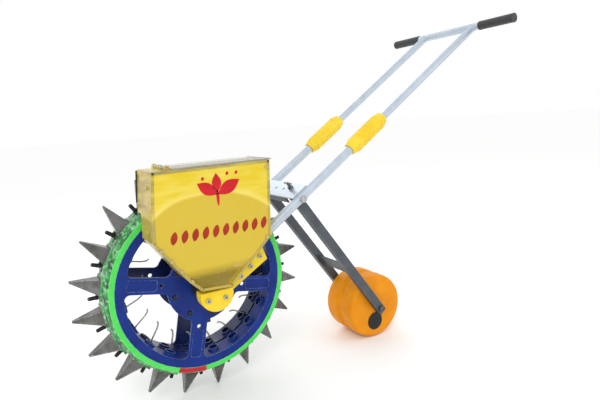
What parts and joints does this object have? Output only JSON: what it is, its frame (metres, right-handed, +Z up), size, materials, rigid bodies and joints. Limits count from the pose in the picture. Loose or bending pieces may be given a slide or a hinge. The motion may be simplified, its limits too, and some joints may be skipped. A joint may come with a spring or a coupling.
{
  "type": "push seeder",
  "caption": "Hand-pushed rolling dibble seeder: spiked seed drum with hinged beak flaps, side hopper with lid, sloping twin-tube handle and a trailing roller on a fork.",
  "frame": {"origin": "on the ground at the middle of the footprint", "axes": "+X to the rear, along the push handle; +Z up; the hopper is on the -Y side"},
  "size_m": [1.2513, 0.4906, 0.9437],
  "materials": {
    "zinc_steel": "zinc-plated steel fasteners and shafts",
    "yellow_paint": "yellow painted steel plate",
    "yellow_plastic": "yellow moulded plastic",
    "galvanised": "pale galvanised steel tube and plate",
    "grey_paint": "grey paint on rectangular steel tube",
    "black_rubber": "black soft grips",
    "yellow_clear": "translucent yellow polycarbonate",
    "clear_lid": "clear smoky plastic sheet",
    "dark_plastic": "black moulded plastic",
    "metering_plastic": "dark nylon",
    "blue_plastic": "glossy blue moulded plastic",
    "green_plastic": "glossy green moulded plastic",
    "red_plastic": "red plastic joint cover",
    "beak_steel": "formed sheet steel, worn grey-brown",
    "orange_plastic": "orange-yellow blow-moulded plastic"
  },
  "bodies": {
    "frame": {"plate_skirt": "grey_paint", "axle": "zinc_steel", "axle_nuts": "zinc_steel", "hub_bracket_right": "yellow_paint", "hub_bracket_left": "yellow_paint", "hub_cap": "yellow_plastic", "bracket_screws": "zinc_steel", "lower_tube_right": "galvanised", "lower_tube_left": "galvanised", "sleeve_right": "yellow_plastic", "sleeve_left": "yellow_plastic", "cross_plate": "galvanised", "adjust_screw": "zinc_steel", "fork_pivots": "zinc_steel", "hopper_tub": "yellow_clear", "hopper_panel": "yellow_clear", "hopper_bolts": "zinc_steel", "metering_housing": "dark_plastic", "feed_chute": "dark_plastic"},
    "drum": {"wheel_half_right": "blue_plastic", "wheel_half_left": "blue_plastic", "tread_band": "green_plastic", "rim_joints": "red_plastic", "beak_shells": "beak_steel", "hub_bolts": "zinc_steel", "drive_gear": "dark_plastic"},
    "metering": {"metering_roller": "metering_plastic", "metering_gear": "dark_plastic"},
    "lid": {"lid": "clear_lid"},
    "handle": {"upper_tube_right": "galvanised", "upper_tube_left": "galvanised", "crossbar": "galvanised", "grip_right": "black_rubber", "grip_left": "black_rubber"},
    "fork": {"fork_leg_right": "grey_paint", "fork_leg_left": "grey_paint", "fork_brace": "grey_paint", "roller_axle": "zinc_steel"},
    "roller": {"roller_shell": "orange_plastic", "roller_plug": "dark_plastic"},
    "flap_01": {"flap_01": "beak_steel"},
    "flap_02": {"flap_02": "beak_steel"},
    "flap_03": {"flap_03": "beak_steel"},
    "flap_04": {"flap_04": "beak_steel"},
    "flap_05": {"flap_05": "beak_steel"},
    "flap_06": {"flap_06": "beak_steel"},
    "flap_07": {"flap_07": "beak_steel"},
    "flap_08": {"flap_08": "beak_steel"},
    "flap_09": {"flap_09": "beak_steel"},
    "flap_10": {"flap_10": "beak_steel"},
    "flap_11": {"flap_11": "beak_steel"},
    "flap_12": {"flap_12": "beak_steel"},
    "flap_13": {"flap_13": "beak_steel"},
    "flap_14": {"flap_14": "beak_steel"},
    "flap_15": {"flap_15": "beak_steel"},
    "flap_16": {"flap_16": "beak_steel"},
    "flap_17": {"flap_17": "beak_steel"},
    "flap_18": {"flap_18": "beak_steel"},
    "flap_19": {"flap_19": "beak_steel"},
    "flap_20": {"flap_20": "beak_steel"}
  },
  "joints": [
    {"name": "drum_spin", "type": "hinge", "parent": "frame", "child": "drum", "pos_m": [-0.33313, 0, 0.29402], "axis": [0, -1, 0], "continuous": true},
    {"name": "meter_spin", "type": "hinge", "parent": "frame", "child": "metering", "pos_m": [-0.35079, -0.095, 0.33563], "axis": [0, -1, 0], "continuous": true},
    {"name": "lid_hinge", "type": "hinge", "parent": "frame", "child": "lid", "pos_m": [-0.41713, -0.09, 0.59552], "axis": [0, -1, 0], "range_deg": [0, 110]},
    {"name": "handle_slide", "type": "slide", "parent": "frame", "child": "handle", "axis": [0.8318, 0, 0.5551], "range_m": [0, 0.06]},
    {"name": "fork_tilt", "type": "hinge", "parent": "frame", "child": "fork", "pos_m": [-0.06913, 0, 0.47652], "axis": [0, -1, 0], "range_deg": [-6, 6]},
    {"name": "roller_spin", "type": "hinge", "parent": "fork", "child": "roller", "pos_m": [0.20087, 0, 0.09753], "axis": [0, -1, 0], "continuous": true},
    {"name": "flap_01_hinge", "type": "hinge", "parent": "drum", "child": "flap_01", "pos_m": [-0.1168, 0, 0.35087], "axis": [0, -1, 0], "range_deg": [0, 22], "stiffness_Nm_per_rad": 0.35, "springref_deg": -14.32},
    {"name": "flap_02_hinge", "type": "hinge", "parent": "drum", "child": "flap_02", "pos_m": [-0.14495, 0, 0.41493], "axis": [0, -1, 0], "range_deg": [0, 22], "stiffness_Nm_per_rad": 0.35, "springref_deg": -14.32},
    {"name": "flap_03_hinge", "type": "hinge", "parent": "drum", "child": "flap_03", "pos_m": [-0.19153, 0, 0.46717], "axis": [0, -1, 0], "range_deg": [0, 22], "stiffness_Nm_per_rad": 0.35, "springref_deg": -14.32},
    {"name": "flap_04_hinge", "type": "hinge", "parent": "drum", "child": "flap_04", "pos_m": [-0.25196, 0, 0.50245], "axis": [0, -1, 0], "range_deg": [0, 22], "stiffness_Nm_per_rad": 0.35, "springref_deg": -14.32},
    {"name": "flap_05_hinge", "type": "hinge", "parent": "drum", "child": "flap_05", "pos_m": [-0.32034, 0, 0.51733], "axis": [0, -1, 0], "range_deg": [0, 22], "stiffness_Nm_per_rad": 0.35, "springref_deg": -14.32},
    {"name": "flap_06_hinge", "type": "hinge", "parent": "drum", "child": "flap_06", "pos_m": [-0.38998, 0, 0.51035], "axis": [0, -1, 0], "range_deg": [0, 22], "stiffness_Nm_per_rad": 0.35, "springref_deg": -14.32},
    {"name": "flap_07_hinge", "type": "hinge", "parent": "drum", "child": "flap_07", "pos_m": [-0.45404, 0, 0.4822], "axis": [0, -1, 0], "range_deg": [0, 22], "stiffness_Nm_per_rad": 0.35, "springref_deg": -14.32},
    {"name": "flap_08_hinge", "type": "hinge", "parent": "drum", "child": "flap_08", "pos_m": [-0.50628, 0, 0.43562], "axis": [0, -1, 0], "range_deg": [0, 22], "stiffness_Nm_per_rad": 0.35, "springref_deg": -14.32},
    {"name": "flap_09_hinge", "type": "hinge", "parent": "drum", "child": "flap_09", "pos_m": [-0.54156, 0, 0.37519], "axis": [0, -1, 0], "range_deg": [0, 22], "stiffness_Nm_per_rad": 0.35, "springref_deg": -14.32},
    {"name": "flap_10_hinge", "type": "hinge", "parent": "drum", "child": "flap_10", "pos_m": [-0.55644, 0, 0.30681], "axis": [0, -1, 0], "range_deg": [0, 22], "stiffness_Nm_per_rad": 0.35, "springref_deg": -14.32},
    {"name": "flap_11_hinge", "type": "hinge", "parent": "drum", "child": "flap_11", "pos_m": [-0.54946, 0, 0.23717], "axis": [0, -1, 0], "range_deg": [0, 22], "stiffness_Nm_per_rad": 0.35, "springref_deg": -14.32},
    {"name": "flap_12_hinge", "type": "hinge", "parent": "drum", "child": "flap_12", "pos_m": [-0.52131, 0, 0.17311], "axis": [0, -1, 0], "range_deg": [0, 22], "stiffness_Nm_per_rad": 0.35, "springref_deg": -14.32},
    {"name": "flap_13_hinge", "type": "hinge", "parent": "drum", "child": "flap_13", "pos_m": [-0.47473, 0, 0.12087], "axis": [0, -1, 0], "range_deg": [0, 22], "stiffness_Nm_per_rad": 0.35, "springref_deg": -14.32},
    {"name": "flap_14_hinge", "type": "hinge", "parent": "drum", "child": "flap_14", "pos_m": [-0.4143, 0, 0.08559], "axis": [0, -1, 0], "range_deg": [0, 22], "stiffness_Nm_per_rad": 0.35, "springref_deg": -14.32},
    {"name": "flap_15_hinge", "type": "hinge", "parent": "drum", "child": "flap_15", "pos_m": [-0.34592, 0, 0.07071], "axis": [0, -1, 0], "range_deg": [0, 22], "stiffness_Nm_per_rad": 0.35, "springref_deg": -14.32},
    {"name": "flap_16_hinge", "type": "hinge", "parent": "drum", "child": "flap_16", "pos_m": [-0.27628, 0, 0.07769], "axis": [0, -1, 0], "range_deg": [0, 22], "stiffness_Nm_per_rad": 0.35, "springref_deg": -14.32},
    {"name": "flap_17_hinge", "type": "hinge", "parent": "drum", "child": "flap_17", "pos_m": [-0.21222, 0, 0.10584], "axis": [0, -1, 0], "range_deg": [0, 22], "stiffness_Nm_per_rad": 0.35, "springref_deg": -14.32},
    {"name": "flap_18_hinge", "type": "hinge", "parent": "drum", "child": "flap_18", "pos_m": [-0.15998, 0, 0.15242], "axis": [0, -1, 0], "range_deg": [0, 22], "stiffness_Nm_per_rad": 0.35, "springref_deg": -14.32},
    {"name": "flap_19_hinge", "type": "hinge", "parent": "drum", "child": "flap_19", "pos_m": [-0.1247, 0, 0.21285], "axis": [0, -1, 0], "range_deg": [0, 22], "stiffness_Nm_per_rad": 0.35, "springref_deg": -14.32},
    {"name": "flap_20_hinge", "type": "hinge", "parent": "drum", "child": "flap_20", "pos_m": [-0.10982, 0, 0.28123], "axis": [0, -1, 0], "range_deg": [0, 22], "stiffness_Nm_per_rad": 0.35, "springref_deg": -14.32}
  ],
  "couplings": [
    {"joint": "meter_spin", "follows": "drum_spin", "ratio": -2}
  ]
}
